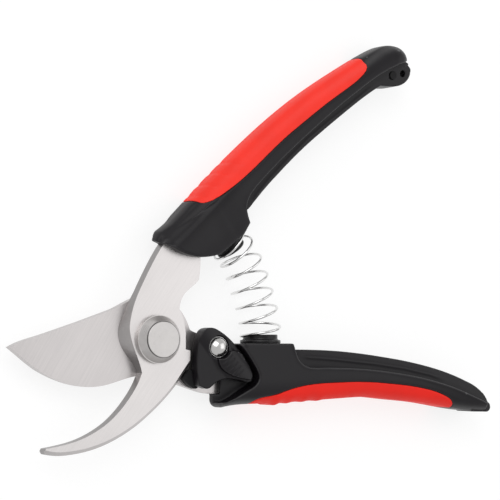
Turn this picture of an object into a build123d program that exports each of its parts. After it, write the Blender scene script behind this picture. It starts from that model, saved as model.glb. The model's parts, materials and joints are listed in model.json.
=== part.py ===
"""Bypass pruning shears, lying open on one side.

Plan points are in mm from the pivot centre: +X towards the lower handle's end,
+Y towards the upper handle, +Z up along the pivot. The whole assembly is moved
at the end so that the middle of its footprint is the origin.
"""
from build123d import *
import os

os.makedirs("parts", exist_ok=True)

# ---- driving dimensions -------------------------------------------------
CENTRE_X = 45.87         # middle of the footprint, from the pivot
CENTRE_Y = 35.6
HANDLE_T = 18.0          # depth of both handles
MID_Z = HANDLE_T / 2
HOOK_T = 4.0             # hook plate
HOOK_BEVEL = 1.3         # along its outer edge
BLADE_T = 3.3            # cutting blade
SLIDE_GAP = 0.06         # between the two plates
HOOK_Z = MID_Z
HOOK_TOP = HOOK_Z + HOOK_T
BLADE_TOP = MID_Z - SLIDE_GAP
BLADE_Z = BLADE_TOP - BLADE_T
SHANK_R = 4.0            # pivot bolt shank
RUN_GAP = 0.05           # radial clearance of turning fits
HEAD_R = 8.4
DISC_R = 6.25
LINER_Z = 4.0            # narrow inner rib of each handle
LINER_T = 10.0
BACK_ROUND = 3.5         # rounding of the outer back
CORE_IN = 3.0            # thickness of the soft grip
LATCH_PIN = (23.2, -2.7)
LATCH_Z = 11.7
POCKET_Z = 11.4          # floor that the latch swings over
LATCH_T = 4.6
PIN_R = 2.0
LANYARD = (104.9, 99.5)
LANYARD_R = 1.25
PLUG = (99.9, 98.4)
PLUG_R = 1.4
WIRE_R = 0.45
COIL_R = 7.25


def region(*runs):
    """Face bounded by runs of points: two points are a line, more a spline."""
    edges = [Line(*run) if len(run) == 2 else Spline(*run) for run in runs]
    return make_face(edges)


def slab(face, z0, z1):
    return Pos(0, 0, z0) * extrude(face, amount=z1 - z0, dir=(0, 0, 1))


def rod(x, y, z0, z1, radius):
    return Pos(x, y, (z0 + z1) / 2) * Cylinder(radius, z1 - z0)


def peg(x, y, z, direction, length, radius):
    """Cylinder whose base centre is (x, y, z) and that points along direction."""
    plane = Plane(origin=(x, y, z), z_dir=direction)
    return plane * Pos(0, 0, length / 2) * Cylinder(radius, length)


def solid_of(shape):
    """The single largest solid of a boolean result."""
    return max(shape.solids(), key=lambda body: body.volume)


# ---- steel plates -------------------------------------------------------
def hook_blade():
    face = region(
        [(-6.1, -11.5), (-7.0, -8.4), (-8.5, -4.7), (-10.1, -0.4), (-10.9, 3.7), (-10.5, 7.3),
         (-9.3, 11.8), (-7.4, 16.3), (-5.4, 20.2), (-3.0, 24.6), (0.1, 29.8), (3.2, 34.2)],
        [(3.2, 34.2), (54.0, 77.5)],
        [(54.0, 77.5), (58.0, 72.8)],
        [(58.0, 72.8), (24.0, 41.0)],
        [(24.0, 41.0), (17.1, 30.5)],
        [(17.1, 30.5), (17.0, 24.3), (16.5, 20.9)],
        [(16.5, 20.9), (14.0, 18.5), (11.0, 16.1), (9.3, 13.3), (8.7, 10.5)],
        [(8.7, 10.5), (9.8, 8.4), (10.7, 5.4), (11.2, 2.2)],
        [(11.2, 2.2), (11.2, -3.5)],
        [(11.2, -3.5), (13.1, -3.9)],
        [(13.1, -3.9), (12.9, -9.4)],
        [(12.9, -9.4), (10.6, -12.4), (8.1, -15.7), (4.2, -19.9), (1.0, -22.9), (-3.0, -26.2),
         (-7.0, -29.2), (-11.0, -31.7), (-16.5, -34.5), (-22.3, -36.7), (-28.0, -38.1),
         (-33.0, -38.8), (-37.5, -39.0), (-42.4, -38.3)],
        [(-42.4, -38.3), (-43.0, -37.3)],
        [(-43.0, -37.3), (-42.5, -36.4)],
        [(-42.5, -36.4), (-35.6, -35.3), (-29.8, -33.8), (-24.4, -31.5), (-19.4, -28.5),
         (-15.3, -25.0), (-11.7, -21.0), (-8.6, -16.7), (-6.1, -11.5)],
    )
    plate = slab(face, HOOK_Z, HOOK_TOP)
    outer = [edge for edge in plate.edges() if edge.length > 60 and (edge @ 0.5).Y < -20]
    plate = chamfer(ShapeList(outer).sort_by(Axis.Z)[-1], HOOK_BEVEL)
    wide = region(
        [(-6.1, -11.5), (-8.3, -7.6), (-11.3, -3.8), (-13.0, -0.2), (-13.3, 3.0), (-12.4, 6.4),
         (-10.6, 10.6), (-7.4, 16.3)],
        [(-7.4, 16.3), (0.0, 0.0)],
        [(0.0, 0.0), (-6.1, -11.5)],
    )
    narrow = region(
        [(-6.1, -11.5), (-7.0, -8.4), (-8.5, -4.7), (-10.1, -0.4), (-10.9, 3.7), (-10.5, 7.3),
         (-9.3, 11.8), (-7.4, 16.3)],
        [(-7.4, 16.3), (0.0, 0.0)],
        [(0.0, 0.0), (-6.1, -11.5)],
    )
    plate = plate + loft([Pos(0, 0, HOOK_Z) * wide, Pos(0, 0, HOOK_TOP) * narrow])
    plate = plate - rod(0, 0, HOOK_Z - 1, HOOK_TOP + 1, SHANK_R)
    return solid_of(plate)


def cutting_blade():
    face = region(
        [(-54.0, -2.6), (-50.3, -0.9), (-43.0, 1.3), (-35.5, 3.6), (-28.0, 6.0), (-20.3, 8.6),
         (-15.0, 10.4)],
        [(-15.0, 10.4), (-11.0, 12.3), (-6.0, 14.5), (0.0, 15.4), (6.5, 14.0), (11.2, 10.4),
         (14.1, 6.1), (15.2, 3.4)],
        [(15.2, 3.4), (18.0, 2.2), (27.0, 1.6), (34.0, -3.0)],
        [(34.0, -3.0), (44.0, -10.0), (58.0, -13.5), (92.0, -15.5)],
        [(92.0, -15.5), (92.0, -19.0)],
        [(92.0, -19.0), (60.0, -18.5), (40.0, -18.6), (25.1, -19.3)],
        [(25.1, -19.3), (20.0, -18.6), (14.1, -16.8), (8.0, -15.0), (0.0, -13.2), (-6.1, -12.7),
         (-12.0, -14.0), (-15.9, -15.1), (-19.7, -15.9), (-23.6, -16.2), (-27.4, -16.0),
         (-31.2, -15.4), (-34.9, -14.4), (-38.7, -12.9), (-42.4, -11.0), (-46.1, -8.6),
         (-49.8, -5.8), (-54.0, -2.6)],
    )
    plate = slab(face, BLADE_Z, BLADE_TOP)
    plate = plate - rod(0, 0, BLADE_Z - 1, BLADE_TOP + 1, SHANK_R + RUN_GAP)
    plate = plate - rod(LATCH_PIN[0], LATCH_PIN[1], BLADE_Z - 1, BLADE_TOP + 1, PIN_R)
    ground = Pos(-34, -19.5, BLADE_Z) * Rot(0, 0, -2) * _bevel_wedge()
    return solid_of(plate - ground)


def _bevel_wedge():
    profile = Plane.YZ * make_face(Polyline((-6, -1), (9.0, -1), (9.0, 0.0), (2.0, 2.9), (-6, 6.0),
                                            (-6, -1)))
    return extrude(profile, amount=23, both=True, dir=(1, 0, 0))


# ---- pivot --------------------------------------------------------------
def pivot_bolt():
    rim = rod(0, 0, HOOK_TOP, HOOK_TOP + 1.4, HEAD_R)
    cone = Pos(0, 0, HOOK_TOP + 1.4 + 1.3) * Cone(HEAD_R - 0.25, DISC_R + 0.25, 2.6)
    disc = rod(0, 0, HOOK_TOP + 3.8, HOOK_TOP + 4.4, DISC_R)
    disc = chamfer(disc.edges().sort_by(Axis.Z)[-1], 0.2)
    shank = rod(0, 0, 0.4, HOOK_TOP + 0.5, SHANK_R)
    return solid_of(rim + cone + disc + shank)


def pivot_washer():
    ring = rod(0, 0, BLADE_Z - 0.95, BLADE_Z - 0.05, 8.0) - rod(0, 0, 0, 9, SHANK_R)
    return solid_of(ring)


def pivot_nut():
    top = BLADE_Z - 0.95
    hexagon = slab(RegularPolygon(7.4, 6), 0.8, top)
    collar = rod(0, 0, 0.5, 0.8, 6.0)
    nut = hexagon + collar - rod(0, 0, 0, 9, SHANK_R)
    return solid_of(nut)


# ---- upper handle -------------------------------------------------------
UPPER_BACK = [
    (2.4, 36.8), (11.6, 45.2), (21.6, 55.1), (31.4, 64.2), (46.4, 77.2), (63.5, 90.0),
    (81.2, 101.0), (90.0, 106.0), (95.0, 108.6), (99.4, 110.1), (102.8, 109.8), (105.2, 107.9),
    (106.1, 105.6),
]
UPPER_STEP = [
    (103.0, 103.6), (98.2, 101.2), (91.8, 97.9), (82.8, 91.9), (73.8, 85.4), (65.0, 78.5),
    (56.3, 71.4), (47.7, 64.0), (40.9, 57.6), (36.8, 53.4), (34.3, 49.9), (33.5, 47.0),
]


def upper_envelope():
    face = region(
        UPPER_BACK,
        [UPPER_BACK[-1], UPPER_STEP[0]],
        UPPER_STEP,
        [UPPER_STEP[-1], (34.0, 44.4), (35.1, 41.2)],
        [(35.1, 41.2), (32.6, 37.1)],
        [(32.6, 37.1), (23.2, 30.0)],
        [(23.2, 30.0), (19.0, 28.9), (14.6, 28.7), (9.7, 29.6), (4.4, 31.3), (0.0, 33.4)],
        [(0.0, 33.4), UPPER_BACK[0]],
    )
    body = slab(face, 0, HANDLE_T)
    outer = [edge for edge in body.edges() if edge.length > 100]
    outer = [edge for edge in outer if min((edge @ 0).X, (edge @ 1).X) < 4]
    return fillet(outer, BACK_ROUND)


def upper_nose_cut():
    """The underside climbs towards the nose, where only the front cheek is left."""
    profile = Polyline((-14, -1), (-14, 8.8), (-1, 8.2), (6, 5.0), (17, 0), (18, -1), (-14, -1))
    along = Plane(origin=(1.2, 35.1, 0), x_dir=(0.74, 0.67, 0), z_dir=(0.67, -0.74, 0))
    return extrude(along * make_face(profile), amount=45, both=True)


def upper_red_zone():
    return region(
        [(13.0, 48.4), (15.6, 48.6), (20.8, 50.3), (26.6, 53.3), (31.5, 56.5), (36.5, 60.5),
         (43.3, 66.6), (50.1, 72.4), (57.0, 77.7), (65.7, 84.1), (74.5, 90.3), (81.0, 95.0),
         (84.4, 98.4), (86.4, 101.8), (86.8, 104.6), (86.2, 110.0)],
        [(86.2, 110.0), (70.0, 112.0)],
        [(70.0, 112.0), (8.0, 60.0)],
        [(8.0, 60.0), (13.0, 48.4)],
    )


def upper_core():
    face = region(
        [(17.0, 46.0), (26.0, 54.8), (38.0, 65.6), (54.9, 79.4), (72.2, 91.2), (88.0, 100.0)],
        [(88.0, 100.0), (88.0, 80.0)],
        [(88.0, 80.0), (30.0, 30.0)],
        [(30.0, 30.0), (17.0, 46.0)],
    )
    return slab(face, CORE_IN, HANDLE_T - CORE_IN)


def upper_liner():
    face = region(
        [(36.4, 46.0), (41.6, 51.8), (50.1, 60.2), (58.7, 68.0), (67.4, 75.0), (76.4, 81.8),
         (85.3, 88.3), (94.6, 94.2)],
        [(94.6, 94.2), (100.4, 94.4), (105.3, 95.6), (108.2, 98.2), (109.0, 101.4), (108.2, 104.6),
         (105.6, 106.4)],
        [(105.6, 106.4), (91.0, 100.4), (73.0, 88.2), (55.2, 74.2), (38.6, 59.6), (31.5, 49.6)],
        [(31.5, 49.6), (36.4, 46.0)],
    )
    body = slab(face, LINER_Z, LINER_Z + LINER_T)
    body = body - rod(LANYARD[0], LANYARD[1], 0, HANDLE_T, LANYARD_R)
    body = body - rod(PLUG[0], PLUG[1], 0, HANDLE_T, PLUG_R)
    return body


# ---- lower handle -------------------------------------------------------
LOWER_BACK = [
    (143.0, -27.4), (136.0, -27.2), (129.0, -26.3), (113.5, -23.8), (98.7, -22.4), (87.0, -21.6),
    (74.0, -21.7), (61.6, -22.2), (49.4, -22.8), (40.0, -22.9), (32.0, -23.1), (25.4, -24.0),
]
LOWER_NOSE = [(25.4, -24.0), (23.5, -22.9), (23.0, -20.2)]
LOWER_STEP = [
    (54.2, -5.0), (55.5, -7.6), (57.4, -9.2), (60.0, -10.1), (64.0, -10.3), (70.0, -10.3),
    (77.0, -10.5), (84.0, -10.9), (95.0, -12.0), (102.4, -13.0), (110.0, -14.3), (117.2, -15.9),
    (124.8, -18.0), (132.4, -20.6), (142.0, -24.2),
]


def lower_envelope():
    face = region(
        LOWER_STEP,
        [LOWER_STEP[-1], LOWER_BACK[0]],
        LOWER_BACK,
        LOWER_NOSE,
        [LOWER_NOSE[-1], (22.6, -12.0)],
        [(22.6, -12.0), (28.0, -1.5)],
        [(28.0, -1.5), (52.9, -1.5)],
        [(52.9, -1.5), LOWER_STEP[0]],
    )
    body = slab(face, 0, HANDLE_T)
    outer = [edge for edge in body.edges() if edge.length > 90 and (edge @ 0.5).Y < -20]
    return fillet(outer, BACK_ROUND)


def lower_red_zone():
    return region(
        [(36.0, -24.6), (38.0, -21.6), (43.9, -20.1), (50.0, -18.5), (55.5, -17.1), (61.6, -16.2),
         (68.0, -15.8), (76.0, -15.6), (88.5, -15.8), (96.0, -16.4), (103.1, -17.1),
         (110.5, -18.2), (116.5, -19.5), (121.7, -21.3), (125.5, -23.6), (127.0, -27.0)],
        [(127.0, -27.0), (110.0, -32.0)],
        [(110.0, -32.0), (40.0, -30.0)],
        [(40.0, -30.0), (36.0, -24.6)],
    )


def lower_core():
    face = region(
        [(34.0, -18.6), (50.0, -19.6), (70.0, -18.6), (90.0, -18.4), (110.0, -20.2),
         (128.0, -23.2)],
        [(128.0, -23.2), (128.0, -12.0)],
        [(128.0, -12.0), (34.0, -8.0)],
        [(34.0, -8.0), (34.0, -18.6)],
    )
    return slab(face, CORE_IN, HANDLE_T - CORE_IN)


def lower_liner():
    face = region(
        [(56.0, -3.7), (67.3, -3.9), (75.0, -4.3), (83.0, -5.0), (90.0, -5.8), (97.3, -6.8),
         (104.6, -7.9), (112.0, -9.3), (119.5, -11.0), (127.1, -13.2), (134.6, -16.0)],
        [(134.6, -16.0), (138.8, -17.9), (142.2, -20.4), (145.0, -23.8), (145.7, -26.4),
         (144.3, -27.8)],
        [(144.3, -27.8), (137.0, -27.6)],
        [(137.0, -27.6), (130.0, -23.0), (110.0, -17.3), (84.0, -13.6), (60.0, -13.2),
         (50.5, -9.0)],
        [(50.5, -9.0), (56.0, -3.7)],
    )
    return slab(face, LINER_Z, LINER_Z + LINER_T)


def latch_pocket():
    face = region(
        [(10.0, 8.0), (27.0, 6.0)],
        [(27.0, 6.0), (29.2, 0.0)],
        [(29.2, 0.0), (32.5, -3.5), (35.2, -7.0), (37.6, -10.6), (38.6, -13.4), (37.4, -16.0),
         (34.0, -18.1), (29.6, -20.6), (25.9, -22.2)],
        [(25.9, -22.2), (12.0, -22.0)],
        [(12.0, -22.0), (10.0, 8.0)],
    )
    return slab(face, POCKET_Z, HANDLE_T + 2)


def nose_cut():
    """Leaves the tang bare at the head, from its back face up to the latch."""
    face = region(
        [(10.0, 8.0), (27.0, 3.0)],
        [(27.0, 3.0), (27.5, -12.0)],
        [(27.5, -12.0), (26.4, -14.0)],
        [(26.4, -14.0), (26.2, -19.2)],
        [(26.2, -19.2), (12.0, -19.2)],
        [(12.0, -19.2), (10.0, 8.0)],
    )
    return slab(face, BLADE_Z, HANDLE_T + 2)


def lower_nose_cut():
    """The cheek behind the tang stops short of the front one."""
    face = region(
        [(10.0, -30.0), (30.5, -30.0)],
        [(30.5, -30.0), (28.0, -20.0), (27.0, -10.0), (28.0, 4.0)],
        [(28.0, 4.0), (10.0, 8.0)],
        [(10.0, 8.0), (10.0, -30.0)],
    )
    below_tang = region(
        [(10.0, -30.0), (27.0, -30.0)],
        [(27.0, -30.0), (26.2, -19.2)],
        [(26.2, -19.2), (10.0, -17.0)],
        [(10.0, -17.0), (10.0, -30.0)],
    )
    return slab(face, -1, BLADE_Z) + slab(below_tang, -1, MID_Z)


# ---- latch --------------------------------------------------------------
def thumb_latch():
    face = region(
        [(16.6, 2.9), (18.0, 3.8), (19.8, 4.1), (21.7, 3.8), (23.8, 2.8), (26.2, 1.3), (28.2, -0.3),
         (30.0, -2.0), (31.6, -3.8), (33.3, -5.6), (34.9, -7.7), (36.1, -9.8), (36.9, -11.9),
         (36.9, -13.8), (36.0, -14.9)],
        [(36.0, -14.9), (34.5, -15.0), (32.0, -14.4), (29.5, -13.9), (27.0, -13.7), (24.9, -14.0),
         (22.9, -14.7), (20.9, -16.0), (19.2, -17.1), (17.7, -17.1)],
        [(17.7, -17.1), (15.4, -16.2)],
        [(15.4, -16.2), (14.8, -13.4), (14.4, -10.6), (14.4, -7.2), (14.6, -3.7), (15.2, -0.2),
         (16.6, 2.9)],
    )
    plate = slab(face, LATCH_Z, LATCH_Z + LATCH_T)
    plate = plate + latch_pad()
    plate = plate - rod(*LATCH_PIN, 0, 30, PIN_R + RUN_GAP)
    plate = plate - rod(*LATCH_PIN, LATCH_Z + LATCH_T - 1.52, 30, 4.2)
    return solid_of(plate)


def latch_pad():
    face = region(
        [(22.4, -6.0), (22.6, -8.0), (23.6, -9.8), (25.5, -11.4), (27.8, -12.6), (30.4, -13.4),
         (35.0, -14.2)],
        [(35.0, -14.2), (36.2, -12.4), (35.0, -9.4), (33.0, -6.7)],
        [(33.0, -6.7), (30.0, -4.2), (26.0, -4.6), (22.4, -6.0)],
    )
    return slab(face, LATCH_Z + LATCH_T - 0.5, LATCH_Z + LATCH_T + 1.4)


def latch_rivet():
    x, y = LATCH_PIN
    seat = LATCH_Z + LATCH_T - 1.5
    shank = rod(x, y, BLADE_Z, seat + 0.1, PIN_R)
    flange = rod(x, y, seat, seat + 0.4, 3.6)
    ball = Pos(x, y, seat - 1.25) * Sphere(3.9)
    cap = ball & rod(x, y, seat + 0.3, HANDLE_T, 5.0)
    return solid_of(shank + flange + cap)


def latch_washer():
    x, y = LATCH_PIN
    return solid_of(rod(x, y, BLADE_TOP, LATCH_Z - 0.9, 4.4) - rod(x, y, 0, 30, PIN_R))


def latch_wave_washer():
    x, y = LATCH_PIN
    ring = rod(x, y, LATCH_Z - 0.9, LATCH_Z - 0.1, 3.8)
    return solid_of(ring - rod(x, y, 0, 30, PIN_R))


def stop_bumper():
    face = region(
        [(11.2, -13.5), (13.5, -10.8)],
        [(13.5, -10.8), (17.6, -10.8)],
        [(17.6, -10.8), (17.6, -15.8)],
        [(17.6, -15.8), (16.6, -17.2), (14.4, -16.6), (11.2, -13.5)],
    )
    return slab(face, BLADE_TOP, BLADE_TOP + 2.2)


# ---- spring and seats ---------------------------------------------------
UPPER_SEAT = (29.9, 35.1)
UPPER_SEAT_DIR = (0.602, -0.798, 0)
LOWER_SEAT = (44.4, -1.5)


def upper_spring_seat():
    base = peg(UPPER_SEAT[0], UPPER_SEAT[1], MID_Z, UPPER_SEAT_DIR, 4.4, 5.3)
    far_rim = base.edges().filter_by(GeomType.CIRCLE).sort_by(Axis.Y)[0]
    return chamfer(far_rim, 0.6)


def lower_spring_seat():
    plate = peg(LOWER_SEAT[0], LOWER_SEAT[1], MID_Z, (0, 1, 0), 1.3, 7.3)
    post = peg(LOWER_SEAT[0], LOWER_SEAT[1] + 1.3, MID_Z, (0, 1, 0), 1.9, 6.2)
    return solid_of(plate + post)


def coil_spring():
    start = (LOWER_SEAT[0], LOWER_SEAT[1] + 1.3 + WIRE_R + 0.1)
    path = [(start[0], start[1]), (43.9, 7.0), (42.2, 14.0), (39.6, 20.4), (36.4, 26.2),
            (31.4, 33.4)]
    spine = Spline(*path)
    turns = 6.25
    count = int(turns * 10)
    points = []
    for step in range(count + 1):
        part = step / count
        spot = spine @ part
        along = spine % part
        across = Vector(-along.Y, along.X, 0)
        angle = 360 * turns * part
        offset = across * COIL_R
        offset = offset.rotate(Axis((0, 0, 0), (along.X, along.Y, 0)), angle)
        points.append((spot.X + offset.X, spot.Y + offset.Y, MID_Z + offset.Z))
    wire = Spline(*points)
    profile = Plane(origin=wire @ 0, z_dir=wire % 0) * Circle(WIRE_R)
    return sweep(profile, path=wire)


# ---- assembly -----------------------------------------------------------
def build():
    hook = hook_blade()
    blade = cutting_blade()

    body = upper_envelope()
    soft = slab(upper_red_zone(), -1, HANDLE_T + 1) - upper_core()
    upper_grip = solid_of(body & soft)
    liner = solid_of(upper_liner() - hook)
    end_rivet = rod(PLUG[0], PLUG[1], LINER_Z, LINER_Z + LINER_T + 0.3, PLUG_R)
    shell = body - soft - upper_liner() - hook - upper_nose_cut()
    shell = shell - upper_spring_seat()

    base = lower_envelope()
    skin = slab(lower_red_zone(), -1, HANDLE_T + 1) - lower_core()
    lower_grip = solid_of((base & skin) - blade)
    rib = solid_of(lower_liner() - blade)
    socket = base - skin - lower_liner() - blade - latch_pocket() - nose_cut() - lower_nose_cut()
    socket = socket - rod(*LATCH_PIN, 0, HANDLE_T, 4.8)

    return {
        "hook_blade": solid_of(hook),
        "cutting_blade": solid_of(blade),
        "pivot_bolt": pivot_bolt(),
        "pivot_washer": pivot_washer(),
        "pivot_nut": pivot_nut(),
        "upper_handle_shell": solid_of(shell),
        "upper_handle_liner": solid_of(liner),
        "upper_grip": upper_grip,
        "upper_spring_seat": upper_spring_seat(),
        "upper_end_rivet": end_rivet,
        "lower_handle_shell": solid_of(socket),
        "lower_handle_liner": solid_of(rib),
        "lower_grip": lower_grip,
        "lower_spring_seat": lower_spring_seat(),
        "stop_bumper": stop_bumper(),
        "latch_rivet": latch_rivet(),
        "latch_washer": latch_washer(),
        "latch_wave_washer": latch_wave_washer(),
        "thumb_latch": thumb_latch(),
        "coil_spring": coil_spring(),
    }


for name, shape in build().items():
    export_step(Pos(-CENTRE_X, -CENTRE_Y, 0) * shape, f"parts/{name}.step")
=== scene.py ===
import bpy
import json
import math
import numpy as np
from mathutils import Vector, Matrix


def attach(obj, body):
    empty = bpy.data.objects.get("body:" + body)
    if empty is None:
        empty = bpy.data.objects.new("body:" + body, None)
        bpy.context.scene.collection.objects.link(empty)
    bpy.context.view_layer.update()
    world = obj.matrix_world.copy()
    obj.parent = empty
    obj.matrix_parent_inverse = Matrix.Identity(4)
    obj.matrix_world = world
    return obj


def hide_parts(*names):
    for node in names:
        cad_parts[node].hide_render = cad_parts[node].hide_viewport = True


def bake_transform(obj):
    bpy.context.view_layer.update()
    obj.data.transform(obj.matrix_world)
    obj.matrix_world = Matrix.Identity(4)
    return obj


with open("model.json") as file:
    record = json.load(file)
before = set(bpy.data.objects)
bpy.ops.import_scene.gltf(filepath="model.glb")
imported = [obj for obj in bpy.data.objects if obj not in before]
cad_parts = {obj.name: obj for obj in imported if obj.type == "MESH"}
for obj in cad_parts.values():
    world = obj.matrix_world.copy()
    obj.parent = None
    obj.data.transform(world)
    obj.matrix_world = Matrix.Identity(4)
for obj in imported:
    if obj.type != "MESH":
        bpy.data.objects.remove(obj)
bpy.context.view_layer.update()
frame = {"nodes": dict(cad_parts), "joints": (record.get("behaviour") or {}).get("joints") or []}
nodes = frame["nodes"]
joints = {joint["name"]: joint for joint in frame["joints"]}
PIVOT = Vector(joints["main_pivot"]["pos_m"])
MM = 0.001
MID = 9.0


def spot(x, y, z=0.0):
    """Plan millimetres from the pivot, height in mm, as a point of the frame."""
    return Vector((PIVOT.x + x * MM, PIVOT.y + y * MM, z * MM))


# ---------------------------------------------------------------- materials
class Shade:
    """A small helper that builds one node material."""

    def __init__(self, name):
        self.mat = bpy.data.materials.new(name)
        self.mat.use_nodes = True
        self.tree = self.mat.node_tree
        self.tree.nodes.clear()
        self.out = self.tree.nodes.new("ShaderNodeOutputMaterial")
        self.bsdf = self.tree.nodes.new("ShaderNodeBsdfPrincipled")
        self.link(self.bsdf.outputs[0], self.out.inputs[0])
        self.coord = self.tree.nodes.new("ShaderNodeTexCoord").outputs["Object"]

    def link(self, a, b):
        self.tree.links.new(a, b)

    def set(self, **values):
        for key, value in values.items():
            self.bsdf.inputs[key.replace("_", " ")].default_value = value

    def mapped(self, angle, scale):
        turn = self.tree.nodes.new("ShaderNodeVectorRotate")
        turn.rotation_type = "Z_AXIS"
        turn.inputs["Angle"].default_value = -math.radians(angle)
        self.link(self.coord, turn.inputs["Vector"])
        grow = self.tree.nodes.new("ShaderNodeVectorMath")
        grow.operation = "MULTIPLY"
        grow.inputs[1].default_value = scale
        self.link(turn.outputs[0], grow.inputs[0])
        return grow.outputs[0]

    def noise(self, scale, detail=3.0, vector=None, rough=0.55, distortion=0.0):
        node = self.tree.nodes.new("ShaderNodeTexNoise")
        node.inputs["Scale"].default_value = scale
        node.inputs["Detail"].default_value = detail
        node.inputs["Roughness"].default_value = rough
        node.inputs["Distortion"].default_value = distortion
        self.link(vector or self.coord, node.inputs["Vector"])
        return node.outputs["Fac"]

    def span(self, value, low, high, a=0.3, b=0.7):
        node = self.tree.nodes.new("ShaderNodeMapRange")
        node.inputs["From Min"].default_value = a
        node.inputs["From Max"].default_value = b
        node.inputs["To Min"].default_value = low
        node.inputs["To Max"].default_value = high
        self.link(value, node.inputs["Value"])
        return node.outputs[0]

    def maths(self, operation, a, b):
        node = self.tree.nodes.new("ShaderNodeMath")
        node.operation = operation
        for socket, value in zip(node.inputs, (a, b)):
            if isinstance(value, (int, float)):
                socket.default_value = value
            else:
                self.link(value, socket)
        return node.outputs[0]

    def tint(self, value, low, high, a=0.3, b=0.7):
        ramp = self.tree.nodes.new("ShaderNodeValToRGB")
        ramp.color_ramp.elements[0].position = a
        ramp.color_ramp.elements[0].color = (*low, 1)
        ramp.color_ramp.elements[1].position = b
        ramp.color_ramp.elements[1].color = (*high, 1)
        self.link(value, ramp.inputs[0])
        return ramp.outputs[0]

    def flat(self):
        """One on faces that look up or down, zero on the walls around them."""
        geometry = self.tree.nodes.new("ShaderNodeNewGeometry")
        split = self.tree.nodes.new("ShaderNodeSeparateXYZ")
        self.link(geometry.outputs["True Normal"], split.inputs[0])
        return self.span(self.maths("ABSOLUTE", split.outputs[2], 0.0), 0.0, 1.0, 0.25, 0.95)

    # Mask of sharp convex edges, used to place painted highlights.
    def edges(self, low=0.5, high=0.62):
        geometry = self.tree.nodes.new("ShaderNodeNewGeometry")
        return self.span(geometry.outputs["Pointiness"], 0.0, 1.0, low, high)

    def blend(self, fac, a, b):
        node = self.tree.nodes.new("ShaderNodeMix")
        node.data_type = "RGBA"
        self.link(fac, node.inputs[0])
        for socket, value in ((node.inputs[6], a), (node.inputs[7], b)):
            if isinstance(value, tuple):
                socket.default_value = (*value, 1)
            else:
                self.link(value, socket)
        return node.outputs[2]

    def colour(self, value):
        self.link(value, self.bsdf.inputs["Base Color"])

    def rough(self, value):
        self.link(value, self.bsdf.inputs["Roughness"])

    def bump(self, height, strength, distance, below=None):
        node = self.tree.nodes.new("ShaderNodeBump")
        node.inputs["Strength"].default_value = strength
        node.inputs["Distance"].default_value = distance
        self.link(height, node.inputs["Height"])
        if below is not None:
            self.link(below, node.inputs["Normal"])
        self.link(node.outputs[0], self.bsdf.inputs["Normal"])
        return node.outputs[0]


def brushed(name, base, angle, rough, wall_shade_share, depth=0.25):
    s = Shade(name)
    s.set(Metallic=1.0)
    fine = s.noise(1.0, 4, s.mapped(angle, (90, 6000, 6000)), 0.65)
    broad = s.noise(1.0, 2, s.mapped(angle, (30, 1100, 1100)), 0.5)
    cloud = s.noise(38.0, 2)
    grain = s.maths("ADD", s.maths("MULTIPLY", fine, 0.75), s.maths("MULTIPLY", broad, 0.25))
    dark = tuple(c * 0.88 for c in base)
    # Side walls take a darker share of the base colour: painted shade on the walls, while faces looking
    # up or down keep the grain colour.
    wall_shade = tuple(c * wall_shade_share for c in base)
    face = s.blend(s.span(cloud, 0.0, 0.25), s.tint(grain, dark, base, 0.36, 0.6), dark)
    s.colour(s.blend(s.flat(), wall_shade, face))
    s.rough(s.maths("ADD", s.span(grain, rough - 0.05, rough + 0.07), s.span(cloud, -0.03, 0.03)))
    s.bump(grain, depth, 0.00003)
    return s.mat


def satin(name, base, rough, grain_scale=1800.0, depth=0.12):
    s = Shade(name)
    s.set(Metallic=1.0)
    fine = s.noise(grain_scale, 4)
    cloud = s.noise(160.0, 3)
    dark = tuple(c * 0.82 for c in base)
    # Sharp convex edges blend to a lighter colour: a painted highlight along the edges.
    s.colour(s.blend(s.edges(0.5, 0.66), s.tint(cloud, dark, base, 0.3, 0.6), (0.8, 0.79, 0.78)))
    s.rough(s.maths("ADD", s.span(fine, rough - 0.04, rough + 0.05), s.span(cloud, -0.03, 0.04)))
    s.bump(fine, depth, 0.00002)
    return s.mat


def turned(name, base, rough):
    """Lathe-turned steel with fine rings about the pivot and a thin dark line of painted shade round the
    cap.
    """
    s = Shade(name)
    s.set(Metallic=1.0)
    centred = s.tree.nodes.new("ShaderNodeVectorMath")
    centred.operation = "SUBTRACT"
    centred.inputs[1].default_value = (PIVOT.x, PIVOT.y, 0)
    s.link(s.coord, centred.inputs[0])
    flat = s.tree.nodes.new("ShaderNodeVectorMath")
    flat.operation = "MULTIPLY"
    flat.inputs[1].default_value = (1, 1, 0)
    s.link(centred.outputs[0], flat.inputs[0])
    length = s.tree.nodes.new("ShaderNodeVectorMath")
    length.operation = "LENGTH"
    s.link(flat.outputs[0], length.inputs[0])
    radius = length.outputs["Value"]
    rings = s.maths("SINE", s.maths("MULTIPLY", radius, 2 * math.pi / 0.00035), 0.0)
    cloud = s.noise(260.0, 3)
    # A thin dark ring round the cap at 6.32 mm radius, colour only: painted shade where the cap steps.
    off_line = s.maths("ABSOLUTE", s.maths("SUBTRACT", radius, 0.00632), 0.0)
    line = s.span(off_line, 1.0, 0.0, 0.00008, 0.00022)
    dark = tuple(c * 0.86 for c in base)
    ring_shade = tuple(c * 0.25 for c in base)
    s.colour(s.blend(line, s.tint(cloud, dark, base, 0.3, 0.65), ring_shade))
    s.rough(s.maths("ADD", s.span(rings, rough - 0.02, rough + 0.03, -1, 1), s.span(cloud, -0.04, 0.05)))
    s.bump(s.maths("ADD", s.maths("MULTIPLY", rings, 0.15), cloud), 0.12, 0.00002)
    return s.mat


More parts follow.
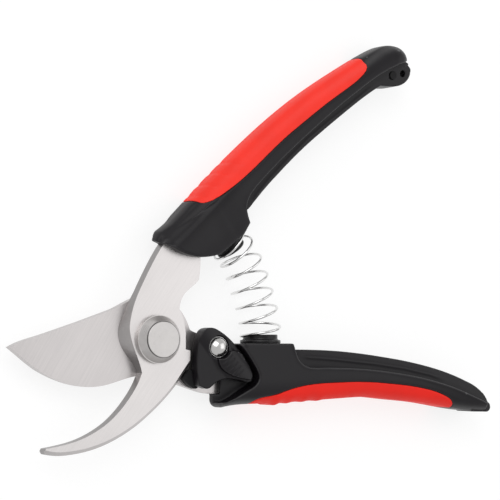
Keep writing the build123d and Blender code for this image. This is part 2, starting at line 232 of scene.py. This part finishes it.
def plastic(name, base, rough, grain=2600.0, depth=0.22):
    s = Shade(name)
    s.set(IOR=1.5, Specular_IOR_Level=0.27)
    fine = s.noise(grain, 2)
    flow = s.noise(45.0, 3, distortion=0.6)
    # Sharp convex edges blend towards a lighter colour: a painted highlight along the edges.
    edge_highlight = tuple(c * 2.5 + 0.075 for c in base)
    body = s.tint(flow, base, tuple(c * 1.18 for c in base))
    s.colour(s.blend(s.maths("MULTIPLY", s.edges(0.518, 0.595), 0.8), body, edge_highlight))
    s.rough(s.maths("ADD", s.span(fine, rough - 0.03, rough + 0.05), s.span(flow, -0.04, 0.04)))
    s.bump(fine, depth, 0.00003)
    return s.mat


def soft_rubber(name, base, rough):
    s = Shade(name)
    s.set(IOR=1.45, Specular_IOR_Level=0.16, Sheen_Weight=0.02, Sheen_Roughness=0.5)
    fine = s.noise(3200.0, 2)
    cloud = s.noise(70.0, 3)
    dark = tuple(c * 0.9 for c in base)
    s.colour(s.tint(cloud, dark, base))
    s.rough(s.maths("ADD", s.span(fine, rough - 0.05, rough + 0.05), s.span(cloud, -0.04, 0.04)))
    s.bump(fine, 0.3, 0.00003)
    return s.mat


hook_steel = brushed("hook_steel", (0.70, 0.672, 0.666), 53, 0.36, 0.42)
blade_steel = brushed("blade_steel", (0.62, 0.592, 0.588), 58, 0.38, 0.85)
bolt_steel = turned("bolt_steel", (0.56, 0.541, 0.532), 0.32)
wire_steel = satin("wire_steel", (0.80, 0.80, 0.80), 0.16, 900.0, 0.08)
rivet_steel = satin("rivet_steel", (0.70, 0.69, 0.68), 0.2, 900.0, 0.05)
black = plastic("black_plastic", (0.0056, 0.0046, 0.0062), 0.38)
gloss_black = plastic("gloss_black", (0.0066, 0.006, 0.007), 0.3, 1500.0, 0.1)
red = soft_rubber("red_soft", (0.90, 0.040, 0.026), 0.52)
# A darker copy of the same red for the lower grip: painted shade, as the lower grip turns away from the
# key lamp.
shaded_red = soft_rubber("shaded_red_soft", (0.86, 0.022, 0.014), 0.56)
plug_black = soft_rubber("plug_black", (0.011, 0.0105, 0.0115), 0.45)
dark_rubber = soft_rubber("dark_rubber", (0.018, 0.018, 0.019), 0.6)


# ------------------------------------------------------------------- pieces
def into_scene(name, mesh):
    piece = bpy.data.objects.new(name, mesh)
    bpy.context.scene.collection.objects.link(piece)
    return piece


def dress(name, material):
    mesh = nodes[name].data
    mesh.materials.clear()
    mesh.materials.append(material)


def points_of(mesh):
    co = np.empty(len(mesh.vertices) * 3)
    mesh.vertices.foreach_get("co", co)
    return co.reshape(-1, 3)


def ramp(x, low, high):
    t = np.clip((x - low) / (high - low), 0, 1)
    return t * t * (3 - 2 * t)


def track(plan, line):
    """Signed distance (left is positive) and run along a plan polyline."""
    line = np.array(line)
    best = np.full(len(plan), 1e9)
    side = np.zeros(len(plan))
    run = np.zeros(len(plan))
    start = 0.0
    for a, b in zip(line[:-1], line[1:]):
        step = b - a
        size = np.hypot(*step)
        rel = plan[:, :2] - a
        t = np.clip(rel @ step / size ** 2, 0, 1)
        gap = rel - t[:, None] * step
        dist = np.hypot(gap[:, 0], gap[:, 1])
        turn = step[0] * rel[:, 1] - step[1] * rel[:, 0]
        near = dist < best
        best = np.where(near, dist, best)
        side = np.where(near, np.sign(turn) * dist, side)
        run = np.where(near, start + t * size, run)
        start += size
    return side, run


def sink(plan, amount):
    """Moves both broad faces towards the middle by the given amount."""
    height = plan[:, 2] - MID
    plan[:, 2] -= np.sign(height) * amount * ramp(np.abs(height), 1.5, 6.0)
    return plan


def lift(plan, amount):
    """Raises the upper face only."""
    plan[:, 2] += amount * ramp(plan[:, 2], 10.5, 15.5)
    return plan


UPPER_BACK = [(2.4, 36.8), (11.6, 45.2), (21.6, 55.1), (31.4, 64.2), (46.4, 77.2), (63.5, 90.0),
              (81.2, 101.0), (90.0, 106.0), (95.0, 108.6), (99.4, 110.1), (102.8, 109.8),
              (105.2, 107.9), (106.1, 105.6)]
UPPER_CREASE = [(-1.6, 35.1), (3.5, 38.2), (8.2, 41.4), (14.6, 45.6), (19.9, 49.0), (25.4, 53.5),
                (32.0, 59.5)]
UPPER_STEP = [(33.5, 47.0), (34.3, 49.9), (36.8, 53.4), (40.9, 57.6), (47.7, 64.0), (56.3, 71.4),
              (65.0, 78.5), (73.8, 85.4), (82.8, 91.9), (91.8, 97.9), (98.2, 101.2),
              (103.0, 103.6)]
UPPER_RIDGE = [(37.2, 47.4), (40.0, 51.5), (45.0, 57.0), (53.5, 65.0), (62.0, 72.6), (71.0, 79.4),
               (80.0, 85.8), (89.0, 92.4), (97.0, 97.5), (104.0, 101.5)]
LOWER_BACK = [(25.4, -24.0), (32.0, -23.1), (40.0, -22.9), (49.4, -22.8), (61.6, -22.2),
              (74.0, -21.7), (87.0, -21.6), (98.7, -22.4), (113.5, -23.8), (129.0, -26.3),
              (143.0, -27.4)]
LOWER_STEP = [(52.9, -1.5), (54.2, -5.0), (55.5, -7.6), (57.4, -9.2), (60.0, -10.1),
              (70.0, -10.3), (84.0, -10.9), (95.0, -12.0), (110.0, -14.3), (124.8, -18.0),
              (142.0, -24.2)]
LOWER_RIDGE = [(58.5, -6.2), (67.0, -6.7), (75.7, -7.4), (91.3, -8.9), (104.6, -10.7),
               (117.0, -13.2), (130.0, -17.2), (141.0, -22.4)]


def upper_roll(plan):
    """Rounds the palm side over; the soft inlay and the shell share it."""
    side, _ = track(plan, UPPER_BACK)
    near = np.clip(1 + side / 9.0, 0, 1) ** 2
    x = plan[:, 0].copy()
    slide = 1.0 * np.exp(-((x - 87) / 9) ** 2) * np.clip(1 + side / 7, 0, 1)
    slide *= 1 - ramp(plan[:, 2], 9.5, 17.5)
    shoulder = ramp(plan[:, 2], 8, 17.5) * np.clip(1 + side / 6, 0, 1) * (2.3 - 1.5 * ramp(x, 80, 102))
    along = slide + shoulder * (0.75 * np.exp(-((x - 13) / 6) ** 2) - 0.1 * np.exp(-((x - 87) / 9) ** 2))
    plan[:, :2] += shoulder[:, None] * np.array((0.6, -0.8)) + along[:, None] * np.array((0.83, 0.55))
    return lift(sink(plan, 1.2 * near), -1.7 * near)


def upper_shell_form(plan):
    side, run = track(plan, UPPER_CREASE)
    panel = ramp(-side, -0.3, 0.7) * (1 - ramp(run, 20, 38)) * (1 - ramp(-side, 12, 20))
    x, y = plan[:, 0] - 1.2, plan[:, 1] - 35.1
    back = 0.74 * x + 0.67 * y
    out = 0.74 * y - 0.67 * x
    pull = (0.9 * ramp(out, -9, -3) - 1.7 * ramp(out, -2.5, 2.5)) * (1 - ramp(back, -1, 8))
    flare = 1.7 * (1 - ramp(back, -1, 10)) * ramp(out, -3, 2)
    end = np.clip(1 - back / 3.2, 0, 1) ** 2 * ramp(out, -5, -1)
    plan = sink(plan, 0.85 * panel + 0.25 * end)
    plan[:, :2] += pull[:, None] * np.array((0.74, 0.67)) + flare[:, None] * np.array((-0.67, 0.74))
    plan[:, 0] += 0.8 * ramp(plan[:, 0], 98, 105) * ramp(plan[:, 1], 100, 103)
    edge, _ = track(plan, UPPER_STEP)
    return lift(upper_roll(plan), 0.28 * np.exp(-(edge / 0.7) ** 2))


def upper_grip_form(plan):
    plan = upper_roll(plan)
    top = ramp(plan[:, 2], 9, 14)
    side, _ = track(plan, UPPER_BACK)
    for x, y, size in GROOVES:
        along, across = 0.97, -0.25
        u = (plan[:, 0] - x) * along + (plan[:, 1] - y) * across
        v = -(plan[:, 0] - x) * across + (plan[:, 1] - y) * along
        dent = np.exp(-(v / 0.8) ** 2) - 0.12 * np.exp(-((v + 1.9) / 1.1) ** 2)
        dent *= 1 - ramp(u, 1.0, 5.0)
        plan[:, 2] -= 0.65 * size * dent * top
        rim = 1 - ramp(np.abs(side), 1.5, 5.5)
        plan[:, :2] += (0.6 * size * dent * rim)[:, None] * np.array((0.68, -0.73))
    return plan


def lower_roll(plan):
    side, _ = track(plan, LOWER_BACK)
    near = np.clip(1 - side / 9.0, 0, 1) ** 2
    return lift(sink(plan, 1.2 * near), -1.0 * near)


def lower_shell_form(plan):
    """A bead along the step down to the rib, and a small facet beside the latch."""
    side, _ = track(plan, LOWER_STEP)
    plan = lift(lower_roll(plan), 0.28 * np.exp(-(side / 0.7) ** 2))
    facet = np.clip((plan[:, 1] + 1.5) * 0.65 - (plan[:, 0] - 34.5) * 0.76, 0, 6)
    facet *= ramp(plan[:, 2], 13, 16) * (1 - ramp(-plan[:, 1], 5.0, 6.5))
    plan[:, 2] -= 0.34 * facet
    return plan


def lower_grip_form(plan):
    side, _ = track(plan, LOWER_BACK)
    plan = lower_roll(plan)
    edge = 1 - ramp(side, 0.5, 5.0)
    for x, size in WAVES:
        plan[:, 1] -= size * edge * np.exp(-((plan[:, 0] - x) / 1.7) ** 2)
    hollow = np.exp(-((plan[:, 0] - 88.0) / 9.0) ** 2)
    plan[:, 1] += 0.35 * edge * hollow
    return plan


def rib_form(line, low, high, outward):
    """A rib with a raised line along it that falls away outside that line."""
    def form(plan):
        side, run = track(plan, line)
        near = np.exp(-(side / 0.7) ** 2) * ramp(run, low, low + 4) * (1 - ramp(run, high, high + 9))
        slope = np.clip(side * outward, 0, 6)
        if outward < 0:
            tip = np.clip(plan[:, 1] - 101.5, 0, 5) * ramp(plan[:, 0], 100, 106)
            plan[:, 0] -= 0.35 * tip
            plan[:, 1] -= 0.35 * tip
        return lift(sink(plan, 0.22 * slope), 0.4 * near)
    return form


def latch_form(plan):
    """Thumb pad: a crowned wedge with fine ribs across it, rising to the tip."""
    along = (plan[:, 0] - 24.5) * 0.66 - (plan[:, 1] + 5.5) * 0.75
    across = (plan[:, 0] - 24.5) * 0.75 + (plan[:, 1] + 5.5) * 0.66
    pad = ramp(plan[:, 2], 15.4, 16.2)
    plan[:, 2] -= pad * np.clip(np.abs(across - 0.6) / 4.4, 0, 1) ** 2 * 1.0
    ribs = np.maximum(0, np.cos(2 * math.pi * along / 1.75)) ** 2
    inside = ramp(along, 0.6, 1.6) * (1 - ramp(along, 8.4, 9.6)) * (1 - ramp(abs(across), 1.8, 3.2))
    plan[:, 2] -= pad * 0.3 * ribs * inside
    return plan


GROOVES = [(30.2, 63.0, 0.32), (25.9, 59.0, 0.4), (21.2, 54.7, 0.42), (17.2, 50.7, 0.36)]
WAVES = [(47.6, 0.75), (53.0, 0.35), (59.6, 0.3), (66.2, 0.35)]


def applied(piece):
    """The mesh of a piece with its modifiers applied; the piece itself goes."""
    graph = bpy.context.evaluated_depsgraph_get()
    mesh = bpy.data.meshes.new_from_object(piece.evaluated_get(graph))
    bpy.data.objects.remove(piece)
    return mesh


def moulded(name, node, body, material, voxel, rounds, sculpt=None):
    """Soft-edged moulding cast over a CAD solid."""
    cast = into_scene(name + "_cast", nodes[node].data.copy())
    remesh = cast.modifiers.new("remesh", "REMESH")
    remesh.mode = "VOXEL"
    remesh.voxel_size = voxel * MM
    mesh = applied(cast)
    if sculpt is not None:
        co = points_of(mesh)
        plan = (co - np.array((PIVOT.x, PIVOT.y, 0.0))) / MM
        co = sculpt(plan) * MM + np.array((PIVOT.x, PIVOT.y, 0.0))
        mesh.vertices.foreach_set("co", co.ravel())
    cast = into_scene(name + "_soft", mesh)
    soften = cast.modifiers.new("soften", "SMOOTH")
    soften.factor = 0.5
    soften.iterations = rounds
    mesh = applied(cast)
    mesh.materials.clear()
    mesh.materials.append(material)
    mesh.name = name
    mesh.shade_smooth()
    piece = into_scene(name, mesh)
    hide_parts(node)
    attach(piece, body)
    return piece


dress("hook_blade", hook_steel)
dress("cutting_blade", blade_steel)
dress("pivot_bolt", bolt_steel)
dress("pivot_washer", bolt_steel)
dress("pivot_nut", bolt_steel)
dress("latch_rivet", rivet_steel)
dress("latch_washer", bolt_steel)
dress("latch_wave_washer", bolt_steel)
dress("stop_bumper", dark_rubber)
dress("upper_end_rivet", plug_black)

moulded("upper_shell", "upper_handle_shell", "upper", black, 0.34, 12,
        upper_shell_form)
moulded("upper_rib", "upper_handle_liner", "upper", black, 0.32, 3,
        rib_form(UPPER_RIDGE, 1, 66, -1))
moulded("upper_inlay", "upper_grip", "upper", red, 0.32, 8, upper_grip_form)
moulded("upper_post", "upper_spring_seat", "upper", gloss_black, 0.25, 4)
moulded("lower_shell", "lower_handle_shell", "lower", black, 0.34, 4,
        lower_shell_form)
moulded("lower_rib", "lower_handle_liner", "lower", black, 0.32, 3,
        rib_form(LOWER_RIDGE, 0, 60, 1))
moulded("lower_inlay", "lower_grip", "lower", shaded_red, 0.32, 5, lower_grip_form)
moulded("lower_post", "lower_spring_seat", "lower", gloss_black, 0.25, 4)
moulded("latch_lever", "thumb_latch", "latch", black, 0.2, 5, latch_form)


# ------------------------------------------------------------------- spring
def coil():
    """Open coil spring that fans out between its two posts."""
    knots = np.array([(44.5, 0.6), (43.9, 6.9), (42.0, 13.9), (39.6, 20.4), (36.8, 26.8),
                      (33.5, 31.9), (31.0, 34.3)])
    turns = 6.7
    total = int(turns * 64)
    rim = 10
    t = np.linspace(0, 1, total + 1)
    length = np.concatenate([[0], np.cumsum(np.hypot(*np.diff(knots, axis=0).T))])
    length /= length[-1]
    fit_x = np.polyfit(length, knots[:, 0], 4)
    fit_y = np.polyfit(length, knots[:, 1], 4)
    wound = turns * (1 - t)
    pitch = np.where((wound < 0.55) | (wound > turns - 0.25), 0.3, 1.0)
    run = np.cumsum(pitch)
    run = (run - run[0]) / (run[-1] - run[0])
    x, y = np.polyval(fit_x, run), np.polyval(fit_y, run)
    dx, dy = np.polyval(np.polyder(fit_x), run), np.polyval(np.polyder(fit_y), run)
    norm = np.hypot(dx, dy)
    dx, dy = dx / norm, dy / norm
    radius = 7.2
    angle = math.radians(328) - 2 * math.pi * wound
    px = x + radius * np.cos(angle) * dy
    py = y - radius * np.cos(angle) * dx
    pz = MID - radius * np.sin(angle)
    path = np.stack([px, py, pz], 1)
    tangent = np.gradient(path, axis=0)
    tangent /= np.linalg.norm(tangent, axis=1)[:, None]
    inward = path - np.stack([x, y, np.full_like(x, MID)], 1)
    inward -= (inward * tangent).sum(1)[:, None] * tangent
    inward /= np.linalg.norm(inward, axis=1)[:, None]
    side = np.cross(tangent, inward)
    around = np.linspace(0, 2 * math.pi, rim, endpoint=False)
    ring = (inward[:, None] * np.cos(around)[None, :, None]
            + side[:, None] * np.sin(around)[None, :, None]) * 0.44
    verts = (path[:, None] + ring).reshape(-1, 3)
    faces = []
    for i in range(total):
        for j in range(rim):
            k = (j + 1) % rim
            faces.append((i * rim + j, i * rim + k, (i + 1) * rim + k, (i + 1) * rim + j))
    faces.append(tuple(range(rim))[::-1])
    faces.append(tuple(total * rim + j for j in range(rim)))
    world = verts * MM + np.array((PIVOT.x, PIVOT.y, 0.0))
    mesh = bpy.data.meshes.new("spring_wire")
    mesh.from_pydata(world.tolist(), [], faces)
    mesh.shade_smooth()
    mesh.materials.append(wire_steel)
    piece = into_scene("spring_wire", mesh)
    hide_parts("coil_spring")
    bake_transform(piece)
    return piece


coil()


# -------------------------------------------------------------------- stage
def floor():
    mesh = bpy.data.meshes.new("floor")
    r = 3.0
    mesh.from_pydata([(-r, -r, 0), (r, -r, 0), (r, r, 0), (-r, r, 0)], [], [(0, 1, 2, 3)])
    s = Shade("floor_paper")
    speck = s.noise(900.0, 2)
    s.colour(s.tint(speck, (0.21, 0.21, 0.21), (0.23, 0.23, 0.23)))
    s.set(Emission_Color=(1, 1, 1, 1), Emission_Strength=0.79)
    s.rough(s.span(speck, 0.85, 0.95))
    mesh.materials.append(s.mat)
    into_scene("floor", mesh)


def area(name, place, target, size, power, colour=(1, 1, 1)):
    data = bpy.data.lights.new(name, "AREA")
    data.shape = "RECTANGLE"
    data.size, data.size_y = size
    data.energy = power
    data.color = colour
    lamp = bpy.data.objects.new(name, data)
    bpy.context.scene.collection.objects.link(lamp)
    lamp.location = place
    lamp.rotation_euler = (Vector(target) - Vector(place)).to_track_quat("-Z", "Y").to_euler()


floor()
area("key", (-0.5, 0.55, 0.75), (0, 0, 0), (0.8, 0.8), 4.2)
area("fill", (0.7, 0.1, 0.8), (0, 0, 0), (0.9, 0.9), 2.0)

world = bpy.data.worlds.new("studio")
world.use_nodes = True
world.node_tree.nodes["Background"].inputs[0].default_value = (1, 1, 1, 1)
world.node_tree.nodes["Background"].inputs[1].default_value = 0.66
bpy.context.scene.world = world
bpy.context.scene.view_settings.view_transform = "Standard"

# The camera looks down on the lying shears, leaning to the left of them.
LEAN, TIP, AWAY = math.radians(32), math.radians(-2.5), 0.70
target = spot(36.64, 31.67, 14.5)
toward = Vector((-math.sin(LEAN) * math.cos(TIP), math.sin(TIP), math.cos(LEAN) * math.cos(TIP)))
right = (-toward).cross(Vector((0, 1, 0))).normalized()
up = right.cross(-toward)
data = bpy.data.cameras.new("camera")
data.sensor_width = 36
data.lens = 36 * 700 / 0.355 / 500
data.clip_start, data.clip_end = 0.05, 20
camera = bpy.data.objects.new("camera", data)
bpy.context.scene.collection.objects.link(camera)
spin = Matrix((right, up, toward)).transposed()
camera.matrix_world = Matrix.Translation(target + toward * AWAY) @ spin.to_4x4()
bpy.context.scene.camera = camera
